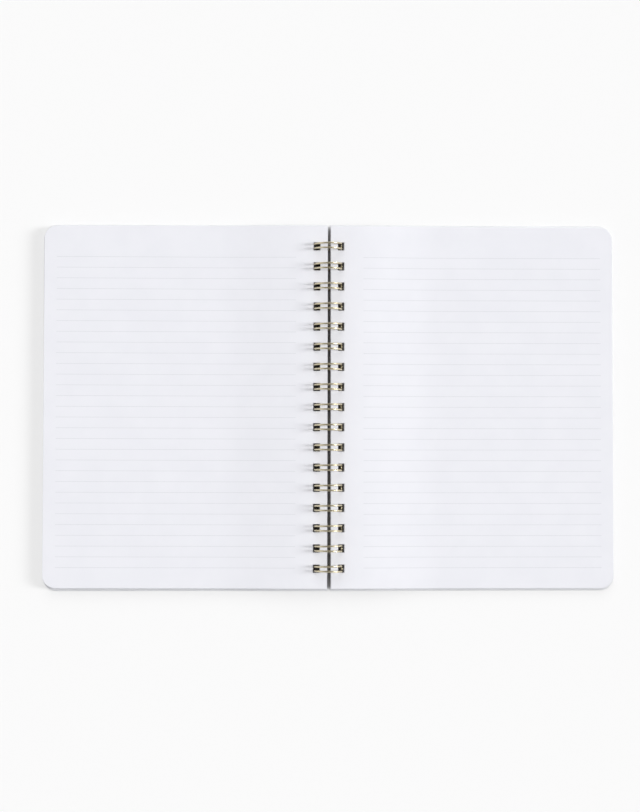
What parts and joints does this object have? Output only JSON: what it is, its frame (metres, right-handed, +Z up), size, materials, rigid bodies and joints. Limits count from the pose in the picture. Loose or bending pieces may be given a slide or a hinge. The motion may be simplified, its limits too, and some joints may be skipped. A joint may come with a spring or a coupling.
{
  "type": "open wire-bound notebook",
  "caption": "Ruled notebook lying open on a table: two blocks of leaves and two thin covers, punched and held by one twin-loop wire, with covers and leaves that turn.",
  "frame": {"origin": "on the table, straight under the axis of the binding rings, at the middle of the spine's length", "axes": "+X across the open pages towards the right-hand fore-edge, +Y along the spine towards the head of the pages, +Z up"},
  "size_m": [0.3615, 0.2314, 0.0181],
  "materials": {
    "cover_board": "smooth pale board, matt",
    "paper_leaves": "smooth white writing paper with thin grey rules",
    "gold_wire": "bright pale gold plating"
  },
  "bodies": {
    "back_half": {"back_cover": "cover_board", "binding_wire": "gold_wire"},
    "front_cover": {"front_cover": "cover_board"},
    "left_leaves": {"left_leaves": "paper_leaves"},
    "right_leaves": {"right_leaves": "paper_leaves"}
  },
  "joints": [
    {"name": "front_cover_turn", "type": "hinge", "parent": "back_half", "child": "front_cover", "pos_m": [0, 0, 0.00905], "axis": [0, 1, 0], "range_deg": [0, 180]},
    {"name": "left_leaves_turn", "type": "hinge", "parent": "front_cover", "child": "left_leaves", "pos_m": [0, 0, 0.00905], "axis": [0, 1, 0], "range_deg": [0, 180]},
    {"name": "right_leaves_turn", "type": "hinge", "parent": "back_half", "child": "right_leaves", "pos_m": [0, 0, 0.00905], "axis": [0, 1, 0], "range_deg": [-180, 0]}
  ]
}
